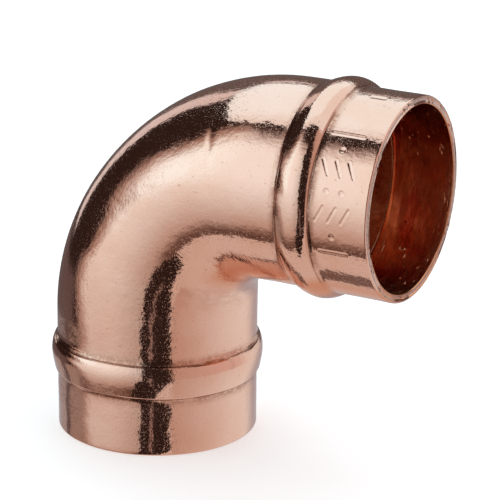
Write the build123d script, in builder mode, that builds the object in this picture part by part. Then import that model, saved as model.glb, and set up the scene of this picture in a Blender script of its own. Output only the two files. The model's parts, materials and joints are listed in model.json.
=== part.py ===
from build123d import *

import os
from math import pi, sin

# Solder-ring elbow, 90 degrees, equal, for 15 mm copper pipe.
#
# The body is one piece of copper tube, bent and formed: a socket at each end, a swollen bead
# round each socket, and a shoulder inside, where the pipe stops. Each bead is hollow and holds
# a ring of solder, which melts into the joint when the socket is heated.
#
# Frame: millimetres. The origin is the middle of the lower socket's mouth. The lower leg runs
# up along +Z, the upper leg runs out along +X, and the elbow is symmetrical about y = 0.

# Sockets, for a pipe of 15 mm outside diameter
PIPE_RADIUS = 7.50
SOCKET_GAP = 0.05
SOCKET_WALL = 0.70
SOCKET_DEPTH = 10.80
SOCKET_RADIUS = PIPE_RADIUS + SOCKET_GAP
SOCKET_OUTER = SOCKET_RADIUS + SOCKET_WALL
MOUTH_CHAMFER = 0.10

# The bead round each socket is an arc that stands on the socket's outside
BEAD_MIDDLE = 6.36
BEAD_HALF_WIDTH = 1.37
BEAD_HEIGHT = 0.61
BEAD_OUTER = SOCKET_OUTER + BEAD_HEIGHT
BEAD_ARC = (BEAD_HALF_WIDTH**2 + BEAD_HEIGHT**2) / (2 * BEAD_HEIGHT)
BEAD_ARC_CENTRE = BEAD_OUTER - BEAD_ARC

# The groove inside the bead, and the solder ring that fills it nearly flush with the bore
GROOVE_ARC = BEAD_ARC - SOCKET_WALL
RING_CLEARANCE = 0.02
RING_RECESS = 0.07
RING_ARC = GROOVE_ARC - RING_CLEARANCE
RING_INNER = SOCKET_RADIUS + RING_RECESS
RING_SPLIT_ANGLE = 3.0

# The bent tube between the sockets
LEG = 23.00
TUBE_OUTER = 8.27
TUBE_WALL = 1.07
HEEL_REACH = 21.13
HEEL_FULLNESS = 0.524
THROAT_RADIUS = 2.88
THROAT_FULLNESS = 0.552
SIDE_HALF_WIDTH = 7.80
BEND_SECTIONS = 9
BEND_START = LEG + TUBE_OUTER - HEEL_REACH
THROAT_STRAIGHT = LEG - TUBE_OUTER - THROAT_RADIUS - BEND_START

# Half-section planes of the two sockets: x is the radius, y the distance from the mouth
LOWER_SECTION = Plane(origin=(0, 0, 0), x_dir=(1, 0, 0), z_dir=(0, -1, 0))
UPPER_SECTION = Plane(origin=(LEG, 0, LEG), x_dir=(0, 0, 1), z_dir=(0, -1, 0))


def socket_axis(section):
    """Middle line of a socket, from its mouth inwards."""
    return Axis(section.origin, section.y_dir)


def socket_outside(section):
    """Sketch of a socket and its bead as if the tube were solid."""
    bead_start = BEAD_MIDDLE - BEAD_HALF_WIDTH
    bead_end = BEAD_MIDDLE + BEAD_HALF_WIDTH
    with BuildSketch(section) as profile:
        with BuildLine():
            Polyline(
                (TUBE_OUTER, bead_end),
                (TUBE_OUTER, BEND_START),
                (0, BEND_START),
                (0, 0),
                (SOCKET_OUTER - MOUTH_CHAMFER, 0),
                (SOCKET_OUTER, MOUTH_CHAMFER),
                (SOCKET_OUTER, bead_start),
            )
            ThreePointArc(
                (SOCKET_OUTER, bead_start),
                (BEAD_OUTER, BEAD_MIDDLE),
                (TUBE_OUTER, bead_end),
            )
        make_face()
    return profile.sketch


def socket_inside(section):
    """Sketch of a socket's bore and of the groove in its wall."""
    with BuildSketch(section) as profile:
        with Locations((SOCKET_RADIUS / 2, SOCKET_DEPTH / 2)):
            Rectangle(SOCKET_RADIUS, SOCKET_DEPTH)
        with Locations((BEAD_ARC_CENTRE, BEAD_MIDDLE)):
            Circle(GROOVE_ARC)
    return profile.sketch


def ring_section(section):
    """Sketch of a solder ring: the part of a round wire that is left outside the bore."""
    with BuildSketch(section) as profile:
        with Locations((BEAD_ARC_CENTRE, BEAD_MIDDLE)):
            Circle(RING_ARC)
        with Locations((RING_INNER / 2, BEAD_MIDDLE)):
            Rectangle(RING_INNER, 2 * BEAD_MIDDLE, mode=Mode.SUBTRACT)
    return profile.sketch


def bend_edge(offset, reach, fullness, straight):
    """Line along the bend at distance offset from the legs' middle lines.

    It runs straight for a while, turns over the given reach, and runs straight again.
    """
    foot = Vector(offset, 0, BEND_START)
    tip = Vector(LEG - BEND_START, 0, LEG - offset)
    first = foot + Vector(0, 0, straight)
    last = tip - Vector(straight, 0, 0)
    towards_corner = Vector(0, 0, fullness * reach)
    from_corner = Vector(fullness * reach, 0, 0)
    with BuildLine() as edge:
        if straight > 0:
            Line(foot, first)
        Bezier(first, first + towards_corner, last - from_corner, last)
        if straight > 0:
            Line(last, tip)
    return edge.wires()[0]


def bend_sections(inset):
    """Ellipses across the bend, from leg to leg, inset from the outer surface."""
    radius = TUBE_OUTER - inset
    heel = bend_edge(-radius, HEEL_REACH - inset, HEEL_FULLNESS, 0)
    throat = bend_edge(radius, THROAT_RADIUS + inset, THROAT_FULLNESS, THROAT_STRAIGHT)
    sections = []
    for step in range(BEND_SECTIONS):
        share = step / (BEND_SECTIONS - 1)
        across = (heel @ share) - (throat @ share)
        middle = (heel @ share) - across / 2
        narrowing = (TUBE_OUTER - SIDE_HALF_WIDTH) * sin(pi * share) ** 2
        plane = Plane(origin=middle, x_dir=across, z_dir=Vector(0, 1, 0).cross(across))
        with BuildSketch(plane) as section:
            Ellipse(across.length / 2, radius - narrowing)
        sections.append(section.sketch)
    return sections


# The body: outside first, then the bores, grooves and waterway are taken away
with BuildPart() as elbow_body:
    for section_plane in (LOWER_SECTION, UPPER_SECTION):
        revolve(socket_outside(section_plane), axis=socket_axis(section_plane))
    loft(bend_sections(0))
    for section_plane in (LOWER_SECTION, UPPER_SECTION):
        revolve(
            socket_inside(section_plane),
            axis=socket_axis(section_plane),
            mode=Mode.SUBTRACT,
        )
    loft(bend_sections(TUBE_WALL), mode=Mode.SUBTRACT)

# A solder ring is a length of wire bent round, so it doesn't quite close
with BuildPart() as lower_solder_ring:
    revolve(
        ring_section(LOWER_SECTION),
        axis=socket_axis(LOWER_SECTION),
        revolution_arc=360 - RING_SPLIT_ANGLE,
    )

with BuildPart() as upper_solder_ring:
    revolve(
        ring_section(UPPER_SECTION),
        axis=socket_axis(UPPER_SECTION),
        revolution_arc=360 - RING_SPLIT_ANGLE,
    )

os.makedirs("parts", exist_ok=True)

elbow_body.part.label = "elbow_body"
lower_solder_ring.part.label = "lower_solder_ring"
upper_solder_ring.part.label = "upper_solder_ring"

export_step(elbow_body.part, "parts/elbow_body.step")
export_step(lower_solder_ring.part, "parts/lower_solder_ring.step")
export_step(upper_solder_ring.part, "parts/upper_solder_ring.step")
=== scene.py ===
"""Looks of the solder-ring elbow: polished copper on a pale floor in soft studio light.

Shapes are worked out in millimetres along the tube and put into the mesh in metres. The tube
runs from the lower mouth up the lower leg, round the bend and out along the upper leg. On
each ring of points, angle 0 is the outside of the bend, and -90 degrees is the front, -Y.
"""

import json
import math

import bpy
import numpy as np
from mathutils import Matrix, Vector


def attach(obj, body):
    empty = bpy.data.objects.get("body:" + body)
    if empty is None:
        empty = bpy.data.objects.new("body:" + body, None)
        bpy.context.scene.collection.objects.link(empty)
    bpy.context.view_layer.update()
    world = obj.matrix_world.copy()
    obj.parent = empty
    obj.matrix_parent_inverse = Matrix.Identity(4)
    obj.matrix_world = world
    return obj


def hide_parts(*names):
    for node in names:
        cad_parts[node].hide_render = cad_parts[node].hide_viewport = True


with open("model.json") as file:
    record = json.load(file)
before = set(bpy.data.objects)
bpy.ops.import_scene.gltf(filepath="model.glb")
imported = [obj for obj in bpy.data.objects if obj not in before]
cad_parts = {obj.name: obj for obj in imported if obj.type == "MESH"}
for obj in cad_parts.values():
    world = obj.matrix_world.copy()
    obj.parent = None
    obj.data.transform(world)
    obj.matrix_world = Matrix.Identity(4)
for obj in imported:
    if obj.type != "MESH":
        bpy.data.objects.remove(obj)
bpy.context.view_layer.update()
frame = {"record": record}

MM = 0.001

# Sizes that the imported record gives
mounts = {mount["name"]: mount for mount in frame["record"]["mounts"]}
LEG = mounts["upper_socket"]["pos_m"][0] / MM
BORE = mounts["lower_socket"]["dims"]["r_mm"]
SOCKET_DEPTH = mounts["lower_socket"]["dims"]["length_mm"]

# Sizes of the formed tube
SOCKET_WALL = 0.70
SOCKET_OUTER = BORE + SOCKET_WALL
TUBE_OUTER = 8.27
TUBE_WALL = 1.07
LIP_OUTER = 0.16
LIP_INNER = 0.10
SHOULDER_SLOPE = 0.05
HEEL_REACH = 21.13
HEEL_FULLNESS = 0.524
THROAT_RADIUS = 2.88
THROAT_FULLNESS = 0.552
SIDE_HALF_WIDTH = 7.80
BEND_START = LEG + TUBE_OUTER - HEEL_REACH
THROAT_STRAIGHT = LEG - TUBE_OUTER - THROAT_RADIUS - BEND_START

# Places along the tube laid straight, for which the bend counts as this long
BEND_LENGTH = 20.5
TUBE_LENGTH = 2 * BEND_START + BEND_LENGTH

# The beads, and the groove behind each
BEAD_MIDDLE = 6.36
BEAD_HALF_WIDTH = 1.37
BEAD_START = BEAD_MIDDLE - BEAD_HALF_WIDTH
BEAD_END = BEAD_MIDDLE + BEAD_HALF_WIDTH
BEAD_HEIGHT = 0.61
BEAD_ARC = (BEAD_HALF_WIDTH**2 + BEAD_HEIGHT**2) / (2 * BEAD_HEIGHT)
BEAD_ARC_CENTRE = SOCKET_OUTER + BEAD_HEIGHT - BEAD_ARC
GROOVE_ARC = BEAD_ARC - SOCKET_WALL

# Each bead's crown, as slopes at its two feet and how far its feet stand off the leg. Beyond
# a foot the wall flares down to the leg, on the mouth's side by a share of the foot's height.
# At the foot itself is a fine groove.
BEADS = {
    "lower": {
        "mouth_slope": 0.20,
        "tube_slope": 0.50,
        "mouth_foot": 0.24,
        "tube_foot": 0.20,
        "mouth_flare": 0.45,
    },
    "upper": {
        "mouth_slope": 0.78,
        "tube_slope": 0.52,
        "mouth_foot": 0.14,
        "tube_foot": 0.18,
        "mouth_flare": 1.0,
    },
}
FLARE = 0.48
FOOT_GROOVE = 0.035
FOOT_GROOVE_WIDTH = 0.05

# How finely the tube is cut up round its rings, most finely near the front angle
RING_POINTS = 352
FRONT_ANGLE = -68.0
FRONT_CROWDING = 0.55

# How finely it is cut up along the legs: rings in each lip, on the crown and after the bead,
# rings each side of a bead's foot, the steps between plain rings, and how far from the foot
# those stop. The upper leg has fine steps, for its marks.
OUTER_LIP_RINGS = 6
INNER_LIP_RINGS = 5
CROWN_RINGS = 9
AFTER_BEAD_RINGS = 7
FOOT_RINGS = np.array((-FLARE, -0.36, -0.25, -0.16, -0.10, -0.055, -0.015))
FINE_STEP = 0.075
COARSE_STEP = 0.30
PLAIN_STOP = 0.5
BORE_RINGS_BEFORE_GROOVE = (1.2, 2.6, 4.0, 5.0)
BORE_RINGS_AFTER_GROOVE = (7.9, 9.2, 10.4)
GROOVE_RINGS = 13

# How finely it is cut up round the bend, with more rings near the forming line
BEND_RINGS = 46
LINE_RINGS = 12
LINE_RINGS_REACH = 0.026
WATERWAY_RINGS = 16
WATERWAY_START = 0.08
EDGE_POINTS = 400


def smooth(low, high, value):
    """Smooth step from 0 at low to 1 at high."""
    share = np.clip((value - low) / (high - low), 0.0, 1.0)
    return share * share * (3.0 - 2.0 * share)


def hump(distance, width):
    """Bell curve that is 1 where distance is 0."""
    return np.exp(-((distance / width) ** 2))


# ---------------------------------------------------------------- the tube's surface


def ring_angles():
    """Angles round the tube, closer together at the front, where the marks are."""
    even = np.linspace(-math.pi, math.pi, RING_POINTS, endpoint=False)
    front = math.radians(FRONT_ANGLE)
    return front + even - FRONT_CROWDING * np.sin(even)


def bend_edge(offset, reach, fullness, straight, shares):
    """Points of the bend's heel or throat line at shares of its length, in the plane y = 0."""
    foot = np.array([offset, BEND_START])
    tip = np.array([LEG - BEND_START, LEG - offset])
    first = foot + (0.0, straight)
    last = tip - (straight, 0.0)
    handles = (first, first + (0.0, fullness * reach), last - (fullness * reach, 0.0), last)
    t = np.linspace(0.0, 1.0, EDGE_POINTS)[:, None]
    weights = ((1 - t) ** 3, 3 * t * (1 - t) ** 2, 3 * t**2 * (1 - t), t**3)
    line = sum(weight * handle for weight, handle in zip(weights, handles))
    line = np.vstack((foot, line, tip))
    steps = np.hypot(*np.diff(line, axis=0).T)
    length = np.concatenate(([0.0], np.cumsum(steps)))
    wanted = np.asarray(shares) * length[-1]
    return np.stack([np.interp(wanted, length, line[:, i]) for i in (0, 1)], axis=1)


def leg_rings(profile, upper):
    """Centre, heelward half axis and side half axis of each ring of a straight leg."""
    radius, distance = np.asarray(profile).T
    zero = np.zeros_like(radius)
    if upper:
        centres = np.stack((LEG - distance, zero, zero + LEG), axis=1)
        heelward = np.stack((zero, zero, radius), axis=1)
    else:
        centres = np.stack((zero, zero, distance), axis=1)
        heelward = np.stack((-radius, zero, zero), axis=1)
    return centres, heelward, radius


def bend_rings(shares, inset):
    """The same for rings across the bend, at shares of the way round it."""
    radius = TUBE_OUTER - inset
    heel = bend_edge(-radius, HEEL_REACH - inset, HEEL_FULLNESS, 0.0, shares)
    throat = bend_edge(
        radius, THROAT_RADIUS + inset, THROAT_FULLNESS, THROAT_STRAIGHT, shares
    )
    middle, half = (heel + throat) / 2, (heel - throat) / 2
    zero = np.zeros(len(shares))
    centres = np.stack((middle[:, 0], zero, middle[:, 1]), axis=1)
    heelward = np.stack((half[:, 0], zero, half[:, 1]), axis=1)
    narrowing = (TUBE_OUTER - SIDE_HALF_WIDTH) * np.sin(np.pi * np.asarray(shares)) ** 2
    return centres, heelward, radius - narrowing


def outer_radius(distance, leg):
    """Outside radius of a leg at a distance from its mouth, bead included."""
    bead = BEADS[leg]
    width = 2 * BEAD_HALF_WIDTH
    share = (distance - BEAD_MIDDLE) / width + 0.5
    rise = bead["mouth_slope"] * share * (1 - share) ** 2
    rise = rise + bead["tube_slope"] * share**2 * (1 - share)
    feet = bead["mouth_foot"] + (bead["tube_foot"] - bead["mouth_foot"]) * share
    crown = np.where((share > 0) & (share < 1), feet + rise * width, 0.0)
    before = np.clip(1 + share * width / FLARE, 0, 1) ** 2 * (share <= 0)
    after = np.clip(1 - (share - 1) * width / FLARE, 0, 1) ** 2 * (share >= 1)
    flares = before * bead["mouth_foot"] * bead["mouth_flare"] + after * bead["tube_foot"]
    grooves = hump(share * width, FOOT_GROOVE_WIDTH)
    grooves = grooves + hump((share - 1) * width, FOOT_GROOVE_WIDTH)
    tube = SOCKET_OUTER + (TUBE_OUTER - SOCKET_OUTER) * smooth(0.0, 1.0, share)
    return tube + crown + flares - FOOT_GROOVE * grooves


def lip_profile(radius, rounding, side, rings):
    """Radius and distance of a lip's rounding, on the outer side, 1, or the inner, -1."""
    turn = np.linspace(-math.pi / 2, 0.0, rings)
    rounded = radius - side * rounding * (1 - np.cos(turn))
    return np.stack((rounded, rounding * (1 + np.sin(turn))), axis=1)


def arc_profile(arc, opening, points):
    """Radius and distance of points on an arc about the middle of a bead's section."""
    swing = np.linspace(-opening, opening, points)
    return np.stack(
        (BEAD_ARC_CENTRE + arc * np.cos(swing), BEAD_MIDDLE + arc * np.sin(swing)), axis=1
    )


def outer_profile(leg, step):
    """Radius and distance along a leg's outside, from its lip to the bend."""
    near_foot = np.concatenate((FOOT_RINGS, -FOOT_RINGS[::-1]))
    distance = np.concatenate(
        (
            np.arange(LIP_OUTER + step, BEAD_START - PLAIN_STOP - step / 2, step),
            BEAD_START + near_foot,
            np.linspace(BEAD_START + FLARE, BEAD_END - FLARE, CROWN_RINGS)[1:-1],
            BEAD_END + near_foot,
            np.linspace(BEAD_END + FLARE, BEND_START, AFTER_BEAD_RINGS)[1:],
        )
    )
    wall = np.stack((outer_radius(distance, leg), distance), axis=1)
    return np.vstack((lip_profile(SOCKET_OUTER, LIP_OUTER, 1, OUTER_LIP_RINGS), wall))


def inner_profile():
    """Radius and distance along a leg's inside, from its lip to the shoulder."""
    lip = lip_profile(BORE, LIP_INNER, -1, INNER_LIP_RINGS)
    opening = math.acos((BORE - BEAD_ARC_CENTRE) / GROOVE_ARC)
    groove = arc_profile(GROOVE_ARC, opening, GROOVE_RINGS)
    before = [(BORE, distance) for distance in BORE_RINGS_BEFORE_GROOVE]
    after = [(BORE, distance) for distance in BORE_RINGS_AFTER_GROOVE]
    edge = TUBE_OUTER - TUBE_WALL
    shoulder = [(BORE, SOCKET_DEPTH), (edge, SOCKET_DEPTH + SHOULDER_SLOPE)]
    return np.vstack((lip, before, groove, after, shoulder))


# ------------------------------------------------------------- marks and imperfections

# Gentle unevenness: the seed, about how long the waves are, how many lobes they may have
# round the tube, and how high they are. Each is a sum of a few waves of chance lengths.
UNEVENNESS = ((3, 9.0, 3, 0.030), (8, 3.2, 9, 0.008))
WAVES_EACH = 5
WAVE_LENGTHS = (0.7, 1.5)

# A line left by forming: its share of the way round the bend, how far it strays, its depth
# and width, and the angle, extra depth and half width of the notch in it
LINE_SHARE = 0.845
LINE_STRAY = 0.12
LINE_DEPTH = 0.005
LINE_WIDTH = 0.22
NOTCH_ANGLE = math.radians(-53.0)
NOTCH_DEPTH = 0.030
NOTCH_WIDTH = 0.16

# Stamped marks on the upper socket: middle's distance from the mouth, angle round the socket,
# length, slant from the length of the tube in degrees, width
STAMPS = (
    (3.00, -41.0, 2.70, 0.0, 0.20),
    (3.00, -50.5, 0.02, 0.0, 0.40),
    (4.05, -61.0, 1.35, 62.0, 0.16),
    (2.95, -61.0, 1.35, 62.0, 0.16),
    (1.85, -61.0, 1.35, 62.0, 0.16),
    (3.60, -73.5, 0.02, 0.0, 0.38),
    (2.30, -73.5, 0.02, 0.0, 0.38),
    (4.05, -86.0, 1.35, -62.0, 0.16),
    (2.95, -86.0, 1.35, -62.0, 0.16),
    (1.85, -86.0, 1.35, -62.0, 0.16),
    (2.95, -98.5, 0.02, 0.0, 0.40),
    (2.95, -108.0, 2.30, 0.0, 0.18),
    (2.60, -15.0, 2.00, 0.0, 0.17),
    (2.60, -8.0, 1.20, 0.0, 0.20),
)
STAMP_DEPTH = 0.045
STAMP_EDGE = 0.05

# The metal swells a little round each mark: how high, how far from its edge, how wide
SWELL_HEIGHT = 0.010
SWELL_PLACE = 0.09
SWELL_WIDTH = 0.06

# Tarnish and painted crease shade beside the beads, at distances past a bead's foot: a band
# that fades one way towards the crown, another up to its middle and a third beyond, and a
# stronger line at the foot
TARNISH_AND_SHADE_BAND = 0.8
BAND_MIDDLE = 0.30
BAND_FADE_CROWN = 0.05
BAND_FADE_NEAR = 0.50
BAND_FADE_FAR = 0.26
TARNISH_AND_SHADE_LINE = 2.0
TARNISH_AND_SHADE_LINE_PLACE = 0.05
TARNISH_AND_SHADE_LINE_WIDTH = 0.08

# How the beads stray: lobes round the tube, how many times the bead's own phase counts, and
# how far. The phases are the lower and the upper bead's.
BEAD_STRAYS = ((3, 1, 0.035), (7, 3, 0.020))
LOWER_PHASE = 0.4
UPPER_PHASE = 2.1
STRAY_REACH = 2.0

# Burrs and nicks on the upper mouth's outer edge: how many, their half widths as angles, how
# far they stand out, and between which distances from the mouth they fade
BURR_SEED = 17
BURRS = 18
BURR_WIDTHS = (0.010, 0.030)
BURR_HEIGHTS = (0.012, 0.040)
BURR_FADE = (0.05, 0.22)

# Over this distance from a mouth the relief sets in
RELIEF_START = 0.25


def stamp_relief(along, around):
    """Relief of the stamped marks where along and around are millimetres on the socket."""
    relief = np.zeros_like(along)
    for distance, angle, length, slant, width in STAMPS:
        x = along - distance
        y = around - math.radians(angle) * SOCKET_OUTER
        turn = math.radians(slant)
        lengthwise = x * math.cos(turn) + y * math.sin(turn)
        sideways = y * math.cos(turn) - x * math.sin(turn)
        past_end = np.clip(np.abs(lengthwise) - length / 2, 0, None)
        away = np.hypot(past_end, sideways) - width / 2
        pressed = 1.0 - smooth(-STAMP_EDGE, STAMP_EDGE, away)
        swollen = hump(away - SWELL_PLACE, SWELL_WIDTH)
        relief += SWELL_HEIGHT * swollen - STAMP_DEPTH * pressed
    return relief


def waves(along, angle, seed, length, lobes, height):
    """Gentle unevenness left by forming, as a few crossed waves."""
    chance = np.random.default_rng(seed)
    total = np.zeros_like(along)
    for _ in range(WAVES_EACH):
        wave = length * chance.uniform(*WAVE_LENGTHS)
        turns = int(chance.integers(1, lobes + 1)) * chance.choice((-1, 1))
        phase = chance.uniform(0.0, 2 * math.pi)
        total += np.sin(2 * math.pi * along / wave + turns * angle + phase)
    return total * height / WAVES_EACH


def outside_relief(along, angle):
    """How far the outside stands off its ideal shape, in millimetres."""
    relief = sum(waves(along, angle, *settings) for settings in UNEVENNESS)
    line_place = BEND_START + LINE_SHARE * BEND_LENGTH + LINE_STRAY * np.sin(angle)
    line_depth = LINE_DEPTH + NOTCH_DEPTH * hump(angle - NOTCH_ANGLE, NOTCH_WIDTH)
    relief -= line_depth * hump(along - line_place, LINE_WIDTH)
    from_mouth = TUBE_LENGTH - along
    stamps = stamp_relief(from_mouth, angle * SOCKET_OUTER)
    return relief + np.where(from_mouth < BEAD_START, stamps, 0.0)


def crease_dirt(along):
    """Tarnish and painted crease shade on each ring: a band beside each foot of a bead, and a
    line at it.
    """
    tarnish_and_shade = np.zeros_like(along)
    for mouth_distance in (along, TUBE_LENGTH - along):
        for side in (-1, 1):
            past = side * (mouth_distance - BEAD_MIDDLE) - BEAD_HALF_WIDTH
            fade = np.where(past > 0, BAND_FADE_NEAR, BAND_FADE_CROWN)
            fade = np.where(past > BAND_MIDDLE, BAND_FADE_FAR, fade)
            middle = np.where(past > 0, BAND_MIDDLE, 0.0)
            band = TARNISH_AND_SHADE_BAND * hump(past - middle, fade)
            line = TARNISH_AND_SHADE_LINE * hump(past - TARNISH_AND_SHADE_LINE_PLACE, TARNISH_AND_SHADE_LINE_WIDTH)
            tarnish_and_shade = np.maximum(tarnish_and_shade, np.maximum(band, line))
    return tarnish_and_shade


def bead_wobble(along, angle):
    """How far each bead strays along the tube, in millimetres towards the upper mouth."""
    total = np.zeros_like(along)
    for mouth_distance, phase in ((along, LOWER_PHASE), (TUBE_LENGTH - along, UPPER_PHASE)):
        near = np.exp(-(((mouth_distance - BEAD_MIDDLE) / STRAY_REACH) ** 4))
        stray = sum(
            height * np.sin(lobes * angle + times * phase)
            for lobes, times, height in BEAD_STRAYS
        )
        total += near * stray
    return total


def rim_burrs(along, angle):
    """How far small burrs and nicks move the upper mouth's outer edge out of its plane."""
    chance = np.random.default_rng(BURR_SEED)
    near = 1.0 - smooth(*BURR_FADE, TUBE_LENGTH - along)
    total = np.zeros_like(along)
    for _ in range(BURRS):
        place = chance.uniform(-math.pi, math.pi)
        width = chance.uniform(*BURR_WIDTHS)
        height = chance.choice((-1, 1)) * chance.uniform(*BURR_HEIGHTS)
        apart = (angle - place + math.pi) % (2 * math.pi) - math.pi
        total += height * hump(apart, width)
    return total * near


# ------------------------------------------------------------------------ the body's mesh


def inside_rows():
    """Rings of the bore and waterway, from the lower mouth to the upper one.

    Centres, heelward half axes, side half axes, and distances along the tube.
    """
    inside = inner_profile()
    shares = np.linspace(WATERWAY_START, 1 - WATERWAY_START, WATERWAY_RINGS)
    lower = (*leg_rings(inside, False), inside[:, 1])
    bend = (*bend_rings(shares, TUBE_WALL), BEND_START + BEND_LENGTH * shares)
    upper = (*leg_rings(inside[::-1], True), TUBE_LENGTH - inside[::-1, 1])
    return [np.concatenate(parts) for parts in zip(lower, bend, upper)]


def outside_rows():
    """The same for the outside, from the upper mouth back to the lower one."""
    fine, coarse = outer_profile("upper", FINE_STEP), outer_profile("lower", COARSE_STEP)
    near_line = LINE_SHARE + np.linspace(-LINE_RINGS_REACH, LINE_RINGS_REACH, LINE_RINGS)
    shares = np.concatenate((np.linspace(1.0, 0.0, BEND_RINGS)[1:-1], near_line))
    shares = np.sort(shares)[::-1]
    upper = (*leg_rings(fine, True), TUBE_LENGTH - fine[:, 1])
    bend = (*bend_rings(shares, 0.0), BEND_START + BEND_LENGTH * shares)
    lower = (*leg_rings(coarse[::-1], False), coarse[::-1, 1])
    return [np.concatenate(parts) for parts in zip(upper, bend, lower)]


def ring_grid(rows, angles):
    """Points, and places on the tube laid straight, of each ring at each angle."""
    centres, heelward, side, along = rows
    sideways = np.zeros_like(centres)
    sideways[:, 1] = side
    points = (
        centres[:, None]
        + heelward[:, None] * np.cos(angles)[None, :, None]
        + sideways[:, None] * np.sin(angles)[None, :, None]
    )
    radius = side[:, None]
    straight = np.stack(
        (
            radius * np.cos(angles),
            radius * np.sin(angles),
            np.repeat(along[:, None], len(angles), axis=1),
        ),
        axis=2,
    )
    return points, straight


def grid_normals(points):
    """Outward normals of the outside's grid, which closes on itself round the tube."""
    lengthwise = np.gradient(points, axis=0)
    crosswise = np.roll(points, -1, axis=1) - np.roll(points, 1, axis=1)
    normals = np.cross(crosswise, lengthwise)
    return normals / np.linalg.norm(normals, axis=2, keepdims=True)


def grid_faces(start, rows, columns):
    """Quads of a grid of rings whose first point has index start."""
    index = start + np.arange(rows * columns).reshape(rows, columns)
    beside = np.roll(index, -1, axis=1)
    quads = np.stack((index[:-1], beside[:-1], beside[1:], index[1:]), axis=2)
    return quads.reshape(-1, 4).tolist()


def mouth_faces(fine, coarse):
    """Faces between a ring of indices and one with half as many."""
    faces = []
    count = len(coarse)
    for step in range(count):
        following = (step + 1) % count
        across = fine[2 * step], fine[2 * step + 1], fine[(2 * step + 2) % (2 * count)]
        faces.append([coarse[step], *across, coarse[following]])
    return faces


def new_object(name, mesh):
    """An object for a finished mesh, shaded smooth, in the scene."""
    mesh.polygons.foreach_set("use_smooth", np.ones(len(mesh.polygons), dtype=bool))
    mesh.update()
    made = bpy.data.objects.new(name, mesh)
    bpy.context.scene.collection.objects.link(made)
    return made


def build_body():
    """The formed tube as one closed mesh.

    The places on the tube laid straight and the crease tarnish and painted shade go with it,
    as attributes.
    """
    angles = ring_angles()
    inside, outside = inside_rows(), outside_rows()
    bore, bore_place = ring_grid(inside, angles[::2])
    skin, skin_place = ring_grid(outside, angles)
    along = skin_place[..., 2]
    wrapped = np.broadcast_to((angles + math.pi) % (2 * math.pi) - math.pi, along.shape)
    sets_in = smooth(0.0, RELIEF_START, np.minimum(along, TUBE_LENGTH - along))
    relief = outside_relief(along, wrapped) * sets_in
    skin = skin + grid_normals(skin) * relief[..., None]
    direction = -np.gradient(outside[0], axis=0)
    direction /= np.linalg.norm(direction, axis=1, keepdims=True)
    stray = bead_wobble(along, wrapped) + rim_burrs(along, wrapped)
    skin = skin + direction[:, None] * stray[..., None]

    # The bore has half as many points round it as the skin
    columns, half = len(angles), len(angles) // 2
    bore_count = bore.shape[0] * half
    faces = grid_faces(0, bore.shape[0], half)
    inside_faces = len(faces)
    faces += grid_faces(bore_count, skin.shape[0], columns)
    first_skin = bore_count + np.arange(columns)
    last_skin = bore_count + (skin.shape[0] - 1) * columns + np.arange(columns)
    faces += [face[::-1] for face in mouth_faces(last_skin, np.arange(half))]
    faces += mouth_faces(first_skin, bore_count - half + np.arange(half))

    points = np.concatenate((bore.reshape(-1, 3), skin.reshape(-1, 3)))
    places = np.concatenate((bore_place.reshape(-1, 3), skin_place.reshape(-1, 3)))
    tarnish_and_shade = np.repeat(crease_dirt(outside[3])[:, None], columns, axis=1).reshape(-1)
    tarnish_and_shade = np.concatenate((np.zeros(bore_count), tarnish_and_shade))
    mesh = bpy.data.meshes.new("formed_tube")
    mesh.from_pydata((points * MM).tolist(), [], [list(map(int, face)) for face in faces])
    is_inside = (np.arange(len(faces)) < inside_faces).astype(np.int32)
    mesh.polygons.foreach_set("material_index", is_inside)
    place = mesh.attributes.new("tube_place", "FLOAT_VECTOR", "POINT")
    place.data.foreach_set("vector", places.reshape(-1).astype(np.float32))
    # The crease tarnish and painted shade, as an attribute
    near = mesh.attributes.new("crease_dirt", "FLOAT", "POINT")
    near.data.foreach_set("value", tarnish_and_shade.astype(np.float32))
    return new_object("formed_elbow_tube", mesh)


# --------------------------------------------------------------------- the solder rings

RING_CLEARANCE = 0.02
RING_RECESS = 0.07
RING_INNER = BORE + RING_RECESS
RING_ARC = GROOVE_ARC - RING_CLEARANCE
RING_SPLIT = math.radians(3.0)
RING_STATIONS = 200
RING_OUTER_POINTS = 15
RING_INNER_POINTS = 9
RING_INNER_SHARE = 0.86
RING_SEEDS = {"lower": 21, "upper": 22}

# Dents in a ring's inner side, which ends at this radius: how deep, how many round the ring,
# and how far chance may shift them
DENT_LIMIT = BORE + 0.2
DENT_DEPTH = 0.012
DENT_LOBES = 5
DENT_PHASE = 0.8


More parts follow.
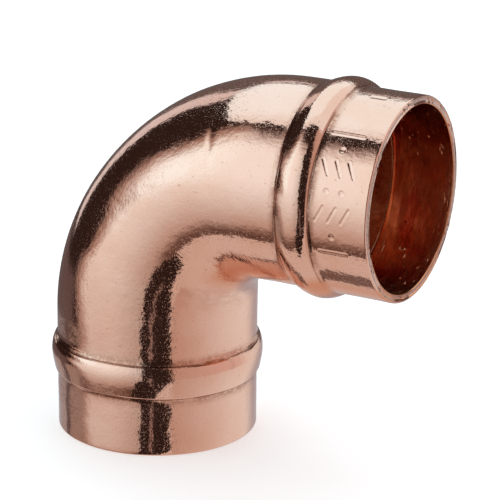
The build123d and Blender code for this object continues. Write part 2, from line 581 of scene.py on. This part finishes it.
def build_ring(name, upper, seed):
    """A ring of solder wire pressed into a socket's groove, with a small gap at its joint."""
    chance = np.random.default_rng(seed)
    opening = math.acos((RING_INNER - BEAD_ARC_CENTRE) / RING_ARC)
    outer = arc_profile(RING_ARC, opening, RING_OUTER_POINTS)
    inner_width = np.linspace(RING_INNER_SHARE, -RING_INNER_SHARE, RING_INNER_POINTS)
    inner_width = inner_width * RING_ARC * math.sin(opening)
    inner = np.stack(
        (np.full(RING_INNER_POINTS, RING_INNER), BEAD_MIDDLE + inner_width), axis=1
    )
    radius, distance = np.vstack((outer, inner)).T
    rows = []
    for angle in np.linspace(RING_SPLIT, 2 * math.pi, RING_STATIONS):
        dent = DENT_DEPTH * math.sin(DENT_LOBES * angle + chance.uniform(0, DENT_PHASE))
        dented = radius - DENT_DEPTH - dent * (radius < DENT_LIMIT)
        across, height = dented * math.cos(angle), dented * math.sin(angle)
        if upper:
            rows.append(np.stack((LEG - distance, height, LEG + across), axis=1))
        else:
            rows.append(np.stack((-across, height, distance), axis=1))
    points = np.array(rows)
    count, around = points.shape[:2]
    index = np.arange(count * around).reshape(count, around)
    beside = np.roll(index, -1, axis=1)
    faces = np.stack((index[:-1], index[1:], beside[1:], beside[:-1]), axis=2)
    faces = faces.reshape(-1, 4).tolist()
    faces.append(index[0].tolist())
    faces.append(index[-1][::-1].tolist())
    mesh = bpy.data.meshes.new(name)
    mesh.from_pydata((points.reshape(-1, 3) * MM).tolist(), [], faces)
    return new_object(name, mesh)


# --------------------------------------------------------------------------- materials

# Colours of the copper outside and in, of the flux on the solder and of the floor's paper
COPPER_DEEP = (0.83, 0.51, 0.39, 1)
COPPER_PALE = (0.86, 0.56, 0.45, 1)
# The brown line at a bead's foot: partly tarnish and partly painted crease shade
FOOT_TARNISH_AND_SHADE_BROWN = (0.22, 0.075, 0.045, 1)
# The bore's darker, redder colours: partly tarnish, partly painted shade and painted
# reflection of the bore on itself
BORE_DEEP = (0.66, 0.26, 0.13, 1)
BORE_PALE = (0.85, 0.43, 0.25, 1)
HOOP_BROWN = (0.46, 0.13, 0.07, 1)
WATERWAY_COPPER = (0.95, 0.60, 0.42, 1)
FLUX_PALE = (0.50, 0.27, 0.17, 1)
FLUX_DEEP = (0.42, 0.16, 0.085, 1)
PAPER_DEEP = (0.88, 0.865, 0.86, 1)
PAPER_PALE = (0.91, 0.89, 0.885, 1)
PAPER_GLOW = (1.0, 1.0, 1.0, 1)

# Tints laid over the copper, each with its strength
SPECK_TINT = ((0.42, 0.19, 0.12, 1), 0.5)
# The stain beside the beads: partly tarnish and partly painted crease shade
STAIN_AND_SHADE_TINT = ((0.36, 0.145, 0.085, 1), 0.85)
# Painted reflection: orange in the throat, for the light that the bend throws on itself
THROAT_REFLECTION_TINT = ((0.74, 0.32, 0.18, 1), 0.90)
CORNER_TINT = ((0.52, 0.26, 0.18, 1), 0.55)
# Red blotches in the bore: partly stain and partly painted reflection of the bore on itself
RED_STAIN_AND_REFLECTION_TINT = ((0.62, 0.09, 0.06, 1), 0.7)

# Noises: scale, in waves to a unit of the place, detail and roughness
SWELLS = (1.1, 1.0, 0.4)
PEEL = (3.4, 1.0, 0.45)
BORE_SWELLS = (1.5, 2.0, 0.5)
PAPER_GRAIN = (40.0, 3.0, 0.5)
WIRE_BUMPS = (3500.0, 3.0, 0.5)

# Patterns: a noise as above, where its ramp starts and ends, and what it goes from and to
# there, if that isn't 0 and 1
CLOUDS = (0.22, 4.0, 0.5, 0.35, 0.65)
SPECKS = (2.3, 2.0, 0.6, 0.68, 0.76)
MOTTLE = (3.6, 3.0, 0.6, 0.26, 0.54)
PATCHES = (0.45, 2.0, 0.5, 0.35, 0.60, 0.35, 1.0)
CORNER_CLOUDS = (0.8, 5.0, 0.65, 0.32, 0.74)
PITS = (8.5, 2.0, 0.65, 0.56, 0.68)
GRIT = (6.5, 1.0, 0.5, 0.60, 0.74)
BLOTCHES = (0.42, 4.0, 0.6, 0.36, 0.66)
RED_STAIN_AND_REFLECTION = (0.27, 1.0, 0.5, 0.56, 0.66)
FLUX_FILM = (900.0, 4.0, 0.6, 0.38, 0.62)
WIRE_ROUGHNESS = (2600.0, 3.0, 0.5, 0.3, 0.7, 0.22, 0.42)

# Noises stretched along or round the tube: the stretch each way, then a noise as above
DRAW_LINES = ((5.0, 5.0, 0.25), 1.0, 3.0, 0.6)
HOOPS = ((0.3, 0.3, 6.0), 1.0, 2.0, 0.5)
BORE_HOOPS = ((0.25, 0.25, 1.9), 1.0, 3.0, 0.6)
FLECKS = ((1.2, 1.2, 2.4), 1.0, 2.0, 0.6)

# Ramps along the tube laid straight, and across it, where the inside of the bend is at
# about -8: start, end, and what they go from and to there, if that isn't 0 and 1
THROAT_ALONG = (18.0, 23.0)
THROAT_ACROSS = (-6.3, -5.1, 1.0, 0.0)
CORNER_START = (13.0, 17.5)
CORNER_END = (17.0, 20.0, 1.0, 0.0)
CORNER_ACROSS = (-7.0, -3.0, 1.0, 0.0)
WATERWAY_ALONG = (SOCKET_DEPTH - 0.2, SOCKET_DEPTH + 0.4, 0.0, 0.85)

# Other ramps, in the same way: where the tarnish and painted crease shade is the foot's line
# and how it varies, the roughness that draw lines, clouds and hoops give, where hoops are
# brown, and the flecks
LINE_TARNISH_AND_SHADE = (0.9, 1.9)
LINE_PATCHES = (0.35, 0.8, 0.35, 0.9)
LINES_ROUGHNESS = (0.3, 0.8, 0.04, 0.08)
CLOUDS_ROUGHNESS = (0.0, 1.0, 0.0, 0.03)
HOOPS_ROUGHNESS = (0.3, 0.75, 0.16, 0.34)
HOOPS_BROWN = (0.50, 0.72, 0.0, 0.55)
FLECKS_RAMP = (0.65, 0.75)

# How much stains and pits add to the roughness, and each thing's share in the bump
STAIN_ROUGHNESS = 0.12
PITS_ROUGHNESS = 0.20
SWELLS_BUMP = 2.2
PEEL_BUMP = 1.0
LINES_BUMP = 0.25
HOOPS_BUMP = 0.12
GRIT_BUMP = -0.45
STAIN_BUMP = 0.15
BORE_HOOPS_BUMP = 0.8
FLECKS_BUMP = 2.0

# Height of a bump whose share is 1, in metres
OUTSIDE_BUMP = 0.75e-5
INSIDE_BUMP = 3.0e-5
WIRE_BUMP = 1.0e-5

PAPER_ROUGHNESS = 0.8
PAPER_GLOW_STRENGTH = 0.50


class Nodes:
    """Short calls for making and joining shader nodes."""

    def __init__(self, tree):
        self.tree = tree
        tree.nodes.clear()

    def add(self, kind, values=None, **settings):
        node = self.tree.nodes.new(kind)
        for name, value in settings.items():
            setattr(node, name, value)
        for socket, value in (values or {}).items():
            if isinstance(value, bpy.types.NodeSocket):
                self.tree.links.new(value, node.inputs[socket])
            else:
                node.inputs[socket].default_value = value
        return node

    def attribute(self, name, output):
        return self.add("ShaderNodeAttribute", attribute_name=name).outputs[output]

    def math(self, operation, *values):
        node = self.add("ShaderNodeMath", dict(enumerate(values)), operation=operation)
        return node.outputs[0]

    def product(self, result, *others):
        for other in others:
            result = self.math("MULTIPLY", result, other)
        return result

    def total(self, *terms):
        """Sum of values, each given with the factor that it is multiplied by."""
        result, *others = [self.math("MULTIPLY", value, factor) for value, factor in terms]
        for other in others:
            result = self.math("ADD", result, other)
        return result

    def ramp(self, value, low, high, at_low=0.0, at_high=1.0):
        node = self.add(
            "ShaderNodeMapRange", {0: value, 1: low, 2: high, 3: at_low, 4: at_high}
        )
        node.interpolation_type = "SMOOTHSTEP"
        return node.outputs[0]

    def noise(self, place, scale, detail, roughness):
        values = {"Vector": place, "Scale": scale, "Detail": detail, "Roughness": roughness}
        return self.add("ShaderNodeTexNoise", values).outputs[0]

    def pattern(self, place, scale, detail, roughness, *ramp):
        return self.ramp(self.noise(place, scale, detail, roughness), *ramp)

    def stretched_noise(self, place, stretch, *settings):
        node = self.add("ShaderNodeMapping", {"Vector": place, "Scale": stretch})
        return self.noise(node.outputs[0], *settings)

    def mix(self, share, first, second):
        node = self.add("ShaderNodeMix", {0: share, 6: first, 7: second}, data_type="RGBA")
        return node.outputs[2]

    def tint(self, colour, mask, tint):
        other, strength = tint
        return self.mix(self.math("MULTIPLY", mask, strength), colour, other)

    def metal(self, colour, rough, height, distance):
        """Metal with a bump of a height in units of a distance, as the whole material."""
        bump = self.add(
            "ShaderNodeBump", {"Height": height, "Strength": 1.0, "Distance": distance}
        )
        values = {
            "Base Color": colour,
            "Metallic": 1.0,
            "Roughness": rough,
            "Normal": bump.outputs[0],
        }
        shader = self.add("ShaderNodeBsdfPrincipled", values)
        self.add("ShaderNodeOutputMaterial", {"Surface": shader.outputs[0]})


def new_material(name):
    material = bpy.data.materials.new(name)
    material.use_nodes = True
    return material, Nodes(material.node_tree)


def copper_outside():
    """Polished copper: clouds, specks, draw lines and a fine orange-peel surface.

    It is tarnished and painted with crease shade beside the beads, painted orange in the
    throat of the bend as a reflection of the bend on itself, and browner in clouds where the
    throat comes down to the lower leg.
    """
    material, n = new_material("polished_copper")
    place = n.attribute("tube_place", "Vector")
    tarnish_and_shade = n.attribute("crease_dirt", "Fac")

    cloud = n.pattern(place, *CLOUDS)
    colour = n.mix(cloud, COPPER_DEEP, COPPER_PALE)
    colour = n.tint(colour, n.pattern(place, *SPECKS), SPECK_TINT)
    patchy = n.pattern(place, *PATCHES)
    # Tarnish and painted crease shade beside the beads, mottled and in patches
    band = n.math("MINIMUM", tarnish_and_shade, TARNISH_AND_SHADE_BAND)
    stain_and_shade = n.product(band, n.pattern(place, *MOTTLE), patchy)
    colour = n.tint(colour, stain_and_shade, STAIN_AND_SHADE_TINT)
    # A dark brown line at each foot of a bead, partly tarnish and partly painted crease shade
    line = n.product(n.ramp(tarnish_and_shade, *LINE_TARNISH_AND_SHADE), n.ramp(patchy, *LINE_PATCHES))
    colour = n.mix(line, colour, FOOT_TARNISH_AND_SHADE_BROWN)

    x, _, along = n.add("ShaderNodeSeparateXYZ", {0: place}).outputs
    # Painted reflection of the bend on itself, orange in the throat
    throat = n.product(n.ramp(x, *THROAT_ACROSS), n.ramp(along, *THROAT_ALONG))
    colour = n.tint(colour, throat, THROAT_REFLECTION_TINT)
    # Browner in clouds where the throat comes down to the lower leg
    corner = n.product(
        n.ramp(along, *CORNER_START),
        n.ramp(along, *CORNER_END),
        n.ramp(x, *CORNER_ACROSS),
        n.pattern(place, *CORNER_CLOUDS),
    )
    colour = n.tint(colour, corner, CORNER_TINT)

    lines = n.stretched_noise(place, *DRAW_LINES)
    rough = n.total(
        (n.ramp(lines, *LINES_ROUGHNESS), 1.0),
        (stain_and_shade, STAIN_ROUGHNESS),
        (n.ramp(cloud, *CLOUDS_ROUGHNESS), 1.0),
        (n.pattern(place, *PITS), PITS_ROUGHNESS),
    )
    height = n.total(
        (n.noise(place, *SWELLS), SWELLS_BUMP),
        (n.noise(place, *PEEL), PEEL_BUMP),
        (lines, LINES_BUMP),
        (n.stretched_noise(place, *HOOPS), HOOPS_BUMP),
        (n.pattern(place, *GRIT), GRIT_BUMP),
        (stain_and_shade, STAIN_BUMP),
    )
    n.metal(colour, rough, height, OUTSIDE_BUMP)
    return material


def copper_inside():
    """The bore: darker, redder copper with hoop marks, red blotches and bright flecks. Its
    dark red is partly tarnish and partly painted shade and painted reflection of the bore on
    itself.

    The waterway beyond the shoulders is cleaner and brighter.
    """
    material, n = new_material("bore_copper")
    place = n.attribute("tube_place", "Vector")
    hoops = n.stretched_noise(place, *BORE_HOOPS)
    colour = n.mix(n.pattern(place, *BLOTCHES), BORE_DEEP, BORE_PALE)
    colour = n.mix(n.ramp(hoops, *HOOPS_BROWN), colour, HOOP_BROWN)
    # Red blotches, partly stain and partly painted reflection of the bore on itself
    colour = n.tint(colour, n.pattern(place, *RED_STAIN_AND_REFLECTION), RED_STAIN_AND_REFLECTION_TINT)
    along = n.add("ShaderNodeSeparateXYZ", {0: place}).outputs[2]
    from_end = n.math("MINIMUM", along, n.math("SUBTRACT", TUBE_LENGTH, along))
    colour = n.mix(n.ramp(from_end, *WATERWAY_ALONG), colour, WATERWAY_COPPER)
    flecks = n.ramp(n.stretched_noise(place, *FLECKS), *FLECKS_RAMP)
    height = n.total(
        (n.noise(place, *BORE_SWELLS), 1.0),
        (hoops, BORE_HOOPS_BUMP),
        (flecks, FLECKS_BUMP),
    )
    n.metal(colour, n.ramp(hoops, *HOOPS_ROUGHNESS), height, INSIDE_BUMP)
    return material


def solder_metal():
    """Dull tin solder wire under a brown film of flux."""
    material, n = new_material("solder_tin")
    place = n.add("ShaderNodeTexCoord").outputs["Object"]
    colour = n.mix(n.pattern(place, *FLUX_FILM), FLUX_PALE, FLUX_DEEP)
    rough = n.pattern(place, *WIRE_ROUGHNESS)
    n.metal(colour, rough, n.noise(place, *WIRE_BUMPS), WIRE_BUMP)
    return material


def floor_paper():
    """Pale, matt paper with hardly any grain, glowing a little as if lit from below too."""
    material, n = new_material("pale_floor")
    place = n.add("ShaderNodeTexCoord").outputs["Object"]
    values = {
        "Base Color": n.mix(n.noise(place, *PAPER_GRAIN), PAPER_DEEP, PAPER_PALE),
        "Roughness": PAPER_ROUGHNESS,
        "Emission Color": PAPER_GLOW,
        "Emission Strength": PAPER_GLOW_STRENGTH,
    }
    shader = n.add("ShaderNodeBsdfPrincipled", values)
    n.add("ShaderNodeOutputMaterial", {"Surface": shader.outputs[0]})
    return material


# ---------------------------------------------------------------- the studio around it

# Colours of the light that the copper reflects from each part of the studio
DARK_GAP = (0.030, 0.018, 0.016, 1)
DIM_WALL = (0.145, 0.118, 0.112, 1)
LEFT_COLUMN = (0.81, 0.80, 0.82, 1)
CEILING_LIGHT = (1.08, 1.36, 1.48, 1)
CEILING_FRONT = (0.98, 1.08, 1.12, 1)
FRONT_HOT = (1.16, 1.50, 1.62, 1)
FRONT_HIGH = (1.07, 1.23, 1.28, 1)
FRONT_LOW = (0.50, 0.355, 0.295, 1)
FRONT_SHADE = (0.24, 0.14, 0.11, 1)
FRONT_EDGE = (0.46, 0.34, 0.30, 1)
RIGHT_NEAR = (0.57, 0.41, 0.35, 1)
RIGHT_MIDDLE = (0.74, 0.58, 0.55, 1)
RIGHT_FAR = (0.86, 0.88, 0.875, 1)
BACK_LIGHT = (0.66, 0.66, 0.67, 1)
BACK_LOW = (0.48, 0.46, 0.49, 1)
LEFT_FAR = (0.60, 0.66, 0.76, 1)
LEFT_MIDDLE = (0.40, 0.37, 0.38, 1)
LEFT_NEAR = (0.37, 0.30, 0.275, 1)
LEFT_DARK = (0.135, 0.105, 0.105, 1)
NEAR_PAPER = (0.71, 0.62, 0.58, 1)
PAPER_FOOT = (0.13, 0.075, 0.062, 1)
SHADOW = (0.19, 0.13, 0.12, 1)
SLIVER = (0.40, 0.30, 0.28, 1)

# Windows: azimuth from and to, how soft those two edges are, elevation from and to, and how
# soft those are, all in degrees. Azimuth is 0 at the front, -Y, and 90 at the right, +X.
COLUMN_WINDOW = ((-132.0, -118.5), (3.0, 1.5), (-8.0, 36.0), (2.0, 4.0))
RAIL_WINDOW = ((-155.0, -144.0), (3.0, 2.0), (22.0, 25.0), (1.0, 1.0))
HOT_WINDOW = ((-64.0, -44.0), (16.0, 22.0), (3.0, 38.0), (14.0, 22.0))
LEFT_BAND_WINDOW = ((-150.0, -84.0), (8.0, 14.0), (-20.0, -10.5), (4.0, 3.0))
STRIP_WINDOW = ((13.5, 46.0), (1.5, 1.5), (-19.0, 62.0), (2.0, 4.0))
SLIVER_WINDOW = ((21.5, 24.0), (1.5, 1.5), (-33.0, -8.0), (4.0, 4.0))

# Upright panels: a window, and the colours at its two azimuths
PANELS = (
    (((-181, -131), (2, 2), (-12, 30), (4, 4)), (DIM_WALL, DIM_WALL)),
    (((46, 118), (2, 6), (-22, 62), (8, 4)), (RIGHT_NEAR, RIGHT_MIDDLE)),
    (((118, 150), (6, 4), (-22, 62), (8, 4)), (RIGHT_MIDDLE, RIGHT_FAR)),
    (((148, 181), (4, 2), (-22, 5), (8, 3)), (RIGHT_FAR, BACK_LIGHT)),
    (((148, 181), (4, 2), (5, 33), (3, 4)), (DIM_WALL, DIM_WALL)),
)

# Below this elevation the column's foot leans to the right, by this much a degree
COLUMN_LEAN_TOP = 3.0
COLUMN_LEAN = 0.5

# The front softbox: how its left edge bulges (elevation from and to, how soft, how far to
# the left), where its right edge is, over which azimuths and elevations its brown fringe
# and its own light fade, and over which its own colours change
FRONT_BULGES = (
    ((-90.0, -20.0), (2.0, 8.0), -5.0),
    ((-13.0, -5.0), (6.0, 6.0), 8.5),
    ((-4.0, 5.0), (3.0, 3.0), -3.0),
    ((7.0, 21.0), (8.0, 10.0), 8.0),
    ((30.0, 62.0), (6.0, 2.0), -3.0),
)
FRONT_RIGHT = (13.0, 2.0)
BROWN_LEFT = (-79.0, -67.0)
BROWN_TOP = (46.0, 60.0, 1.0, 0.0)
BRIGHT_LEFT = (-70.0, -55.0)
BRIGHT_TOP = (39.0, 57.0, 1.0, 0.0)
FRONT_RISE = (-52.0, 18.0)
FRONT_FALL = (-30.0, 30.0, 0.0, 0.52)

# The ceiling: where its edges are on the level plane and how soft, how much the left and the
# front ones slant, the elevation that it stays above, and over which azimuths it changes
CEILING_LEFT = (-0.92, 0.02)
CEILING_LEFT_SLANT = 0.2
CEILING_FRONT_EDGE = (-0.32, 0.015)
CEILING_FRONT_SLANT = 0.16
CEILING_RIGHT = (0.90, 0.05)
CEILING_AWAY = ((-0.232, 1.62), (0.015, 0.25))
CEILING_LOWEST = (10.0, 2.0)
CEILING_CHANGE = (-100.0, -66.0)

# The left of the floor: over which azimuths its colour changes, its edges, and a dark line's
LEFT_FAR_CHANGE = (-148.0, -122.0)
LEFT_NEAR_CHANGE = (-100.0, -88.0)
LEFT_FLOOR_TOP = (-20.0, 4.0)
LEFT_FLOOR_RIGHT = (-66.0, 20.0)
LEFT_LINE_TOP = (-18.0, 3.0)
LEFT_LINE_SIDES = ((-103.0, -93.0), (5.0, 6.0))

# The paper: its top and its slanting front edge, the foot in front of it, and the shadow
PAPER_TOP = (-14.0, 3.0)
PAPER_SLANT = 0.5
PAPER_FRONT = (-0.90, 0.015)
PAPER_LEFT = (-1.3, 0.5)
FOOT_FADE = (-1.65, -1.00)
FOOT_SIDES = ((-72.0, 13.0), (14.0, 2.0))
SHADOW_ACROSS = ((-0.85, -0.26), (0.2, 0.05))
SHADOW_AWAY = ((-0.07, 0.27), (0.03, 0.05))

# The right and the back of the floor
RIGHT_FLOOR_LEVELS = ((-50.0, -14.0), (14.0, 3.0))
RIGHT_FLOOR_CHANGE = (30.0, 150.0)
BACK_FLOOR_CHANGE = (150.0, 181.0)
RIGHT_FLOOR_LEFT = (46.0, 2.0)
BACK_FLOOR_RIGHT = (-150.0, 14.0)

# The dark line on the paper: its top, its two sides, each as a point and an azimuth, and
# the slanting end
LINE_TOP = (-17.0, 2.0)
LINE_LEFT = ((-0.05, -1.10), 19.5)
LINE_RIGHT = ((0.395, -0.809), 54.0)
LINE_SIDE_SOFTNESS = 0.02
LINE_END = (-0.64, 0.03)

# The least slope that a ray counts as having, so that the level plane has an end
LEAST_SLOPE = 0.002


class Directions:
    """Node values for the direction that a ray of light comes from, and masks on them.

    Across and away are where it meets a level plane, at a height or depth of 1.
    """

    def __init__(self, n):
        self.n = n
        place = n.add("ShaderNodeTexCoord").outputs["Generated"]
        x, y, z = n.add("ShaderNodeSeparateXYZ", {0: place}).outputs
        degrees = 180 / math.pi
        turn = n.math("ARCTAN2", x, n.math("MULTIPLY", y, -1.0))
        self.azimuth = n.math("MULTIPLY", turn, degrees)
        self.elevation = n.math("MULTIPLY", n.math("ARCSINE", z), degrees)
        slope = n.math("MAXIMUM", n.math("ABSOLUTE", z), LEAST_SLOPE)
        self.across = n.math("DIVIDE", x, slope)
        self.away = n.math("DIVIDE", y, slope)

    def above(self, value, edge, soft):
        return self.n.ramp(value, edge - soft / 2, edge + soft / 2)

    def below(self, value, edge, soft):
        return self.n.ramp(value, edge - soft / 2, edge + soft / 2, 1.0, 0.0)

    def between(self, value, edges, softness):
        low = self.above(value, edges[0], softness[0])
        high = self.below(value, edges[1], softness[1])
        return self.n.product(low, high)

    def window(self, azimuths, azimuth_softness, elevations, elevation_softness):
        return self.n.product(
            self.between(self.azimuth, azimuths, azimuth_softness),
            self.between(self.elevation, elevations, elevation_softness),
        )

    def beside(self, point, azimuth):
        """Distance to the right of a line through a point on the level plane."""
        angle = math.radians(azimuth)
        x = self.n.math("SUBTRACT", self.across, point[0])
        y = self.n.math("SUBTRACT", self.away, point[1])
        return self.n.total((x, math.cos(angle)), (y, math.sin(angle)))


def left_column(n, d, light):
    """A pale column at the far left, whose foot leans to the right, and a thin rail."""
    azimuths, azimuth_softness, *levels = COLUMN_WINDOW
    lean = n.math("MAXIMUM", n.math("SUBTRACT", COLUMN_LEAN_TOP, d.elevation), 0.0)
    upright = n.total((d.azimuth, 1.0), (lean, -COLUMN_LEAN))
    column = n.product(
        d.between(upright, azimuths, azimuth_softness), d.between(d.elevation, *levels)
    )
    light = n.mix(column, light, LEFT_COLUMN)
    return n.mix(d.window(*RAIL_WINDOW), light, LEFT_COLUMN)


def front_softbox(n, d, light):
    """The large softbox in front, which fades through brown at its left edge and its top."""
    edge = d.azimuth
    for levels, softness, shift in FRONT_BULGES:
        bulge = d.between(d.elevation, levels, softness)
        edge = n.total((edge, 1.0), (bulge, shift))
    before_strip = d.below(d.azimuth, *FRONT_RIGHT)
    brown = n.product(
        n.ramp(edge, *BROWN_LEFT), n.ramp(d.elevation, *BROWN_TOP), before_strip
    )
    light = n.mix(brown, light, FRONT_EDGE)
    front = n.mix(n.ramp(d.elevation, *FRONT_RISE), FRONT_LOW, FRONT_HIGH)
    front = n.mix(d.window(*HOT_WINDOW), front, FRONT_HOT)
    front = n.mix(n.ramp(d.azimuth, *FRONT_FALL), front, FRONT_SHADE)
    bright = n.product(
        n.ramp(edge, *BRIGHT_LEFT), n.ramp(d.elevation, *BRIGHT_TOP), before_strip
    )
    return n.mix(bright, light, front)


def ceiling(n, d, light):
    """The white ceiling, whose left edge, and front edge near it, run aslant."""
    colour = n.mix(n.ramp(d.azimuth, *CEILING_CHANGE), CEILING_LIGHT, CEILING_FRONT)
    left = n.total((d.across, 1.0), (d.away, CEILING_LEFT_SLANT))
    front = n.total((d.away, 1.0), (d.across, CEILING_FRONT_SLANT))
    mask = n.product(
        d.above(left, *CEILING_LEFT),
        d.above(front, *CEILING_FRONT_EDGE),
        d.below(d.across, *CEILING_RIGHT),
        d.between(d.away, *CEILING_AWAY),
        d.above(d.elevation, *CEILING_LOWEST),
    )
    return n.mix(mask, light, colour)


def left_floor(n, d, light):
    """What is low down on the left: grey and brown, with a dark band above and a dark line."""
    colour = n.mix(n.ramp(d.azimuth, *LEFT_FAR_CHANGE), LEFT_FAR, LEFT_MIDDLE)
    colour = n.mix(n.ramp(d.azimuth, *LEFT_NEAR_CHANGE), colour, LEFT_NEAR)
    low = d.below(d.elevation, *LEFT_FLOOR_TOP)
    light = n.mix(n.product(low, d.below(d.azimuth, *LEFT_FLOOR_RIGHT)), light, colour)
    band = d.window(*LEFT_BAND_WINDOW)
    line = n.product(
        d.below(d.elevation, *LEFT_LINE_TOP), d.between(d.azimuth, *LEFT_LINE_SIDES)
    )
    return n.mix(n.math("MAXIMUM", band, line), light, LEFT_DARK)


def paper_below(n, d, light):
    """The paper that the elbow stands on, with a dark foot in front and a shadow on it."""
    low = d.below(d.elevation, *PAPER_TOP)
    edge = n.total((d.away, 1.0), (d.across, PAPER_SLANT))
    foot = n.product(n.ramp(edge, *FOOT_FADE), low, d.between(d.azimuth, *FOOT_SIDES))
    light = n.mix(foot, light, PAPER_FOOT)
    paper = n.product(low, d.above(edge, *PAPER_FRONT), d.above(d.across, *PAPER_LEFT))
    light = n.mix(paper, light, NEAR_PAPER)
    shadow = n.product(
        low, d.between(d.across, *SHADOW_ACROSS), d.between(d.away, *SHADOW_AWAY)
    )
    return n.mix(shadow, light, SHADOW)


def right_floor(n, d, light):
    """What is low down on the right and behind."""
    level = d.between(d.elevation, *RIGHT_FLOOR_LEVELS)
    colour = n.mix(n.ramp(d.azimuth, *RIGHT_FLOOR_CHANGE), RIGHT_NEAR, RIGHT_FAR)
    colour = n.mix(n.ramp(d.azimuth, *BACK_FLOOR_CHANGE), colour, BACK_LOW)
    right = n.product(level, d.above(d.azimuth, *RIGHT_FLOOR_LEFT))
    light = n.mix(right, light, colour)
    back = n.product(level, d.below(d.azimuth, *BACK_FLOOR_RIGHT))
    return n.mix(back, light, BACK_LOW)


def dark_strips(n, d, light):
    """The dark gap right of the front softbox, and the dark line that it casts on the paper.

    A paler sliver stands in the gap.
    """
    light = n.mix(d.window(*STRIP_WINDOW), light, DARK_GAP)
    line = n.product(
        d.below(d.elevation, *LINE_TOP),
        d.above(d.beside(*LINE_LEFT), 0.0, LINE_SIDE_SOFTNESS),
        d.below(d.beside(*LINE_RIGHT), 0.0, LINE_SIDE_SOFTNESS),
        d.below(n.math("SUBTRACT", d.away, d.across), *LINE_END),
    )
    light = n.mix(line, light, DARK_GAP)
    return n.mix(d.window(*SLIVER_WINDOW), light, SLIVER)


LAYERS = (
    left_column,
    front_softbox,
    ceiling,
    left_floor,
    paper_below,
    right_floor,
    dark_strips,
)


def build_world():
    """A white ceiling, upright panels with dark gaps between them, and paper below."""
    world = bpy.data.worlds.new("studio")
    bpy.context.scene.world = world
    world.use_nodes = True
    n = Nodes(world.node_tree)
    d = Directions(n)
    light = DARK_GAP
    for window, colours in PANELS:
        colour = n.mix(n.ramp(d.azimuth, *window[0]), *colours)
        light = n.mix(d.window(*window), light, colour)
    for layer in LAYERS:
        light = layer(n, d, light)
    background = n.add("ShaderNodeBackground", {"Color": light, "Strength": 1.0})
    n.add("ShaderNodeOutputWorld", {"Surface": background.outputs[0]})


FLOOR_HALF = 3.0


def build_floor():
    """The pale floor. The copper reflects the studio's own paper in its place."""
    corners = ((-1, -1), (1, -1), (1, 1), (-1, 1))
    points = [(FLOOR_HALF * x, FLOOR_HALF * y, 0.0) for x, y in corners]
    mesh = bpy.data.meshes.new("floor")
    mesh.from_pydata(points, [], [list(range(len(points)))])
    mesh.update()
    piece = bpy.data.objects.new("floor", mesh)
    piece.data.materials.append(floor_paper())
    bpy.context.scene.collection.objects.link(piece)
    piece.visible_glossy = False


# ------------------------------------------------------------------------------ camera

CAMERA_PLACE = (0.12266, -0.21205, 0.09927)
CAMERA_AZIMUTH = 28.27
CAMERA_ELEVATION = 19.0
CAMERA_ROLL = 0.56
CAMERA_LENS = 227.0
CAMERA_SENSOR = 36.0
CAMERA_CLIP = (0.01, 20.0)


def build_camera():
    """A long lens, seen from the front right and a little above."""
    azimuth, elevation, roll = map(
        math.radians, (CAMERA_AZIMUTH, CAMERA_ELEVATION, CAMERA_ROLL)
    )
    back = Vector(
        (
            math.sin(azimuth) * math.cos(elevation),
            -math.cos(azimuth) * math.cos(elevation),
            math.sin(elevation),
        )
    )
    right = Vector((math.cos(azimuth), math.sin(azimuth), 0.0))
    up = back.cross(right)
    rolled_right = right * math.cos(roll) + up * math.sin(roll)
    rolled_up = up * math.cos(roll) - right * math.sin(roll)
    turn = Matrix((rolled_right, rolled_up, back)).transposed().to_4x4()
    data = bpy.data.cameras.new("camera")
    data.lens = CAMERA_LENS
    data.sensor_width = CAMERA_SENSOR
    data.clip_start, data.clip_end = CAMERA_CLIP
    camera = bpy.data.objects.new("camera", data)
    camera.matrix_world = Matrix.Translation(CAMERA_PLACE) @ turn
    bpy.context.scene.collection.objects.link(camera)
    bpy.context.scene.camera = camera


# ---------------------------------------------------------------------------- assembly

body = build_body()
body.data.materials.append(copper_outside())
body.data.materials.append(copper_inside())
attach(body, "root")
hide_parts("elbow_body")

solder = solder_metal()
for end, upper in (("lower", False), ("upper", True)):
    ring = build_ring(end + "_solder_wire", upper, RING_SEEDS[end])
    ring.data.materials.append(solder)
    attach(ring, "root")
    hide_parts(end + "_solder_ring")

build_world()
build_floor()
build_camera()
bpy.context.scene.view_settings.view_transform = "Standard"
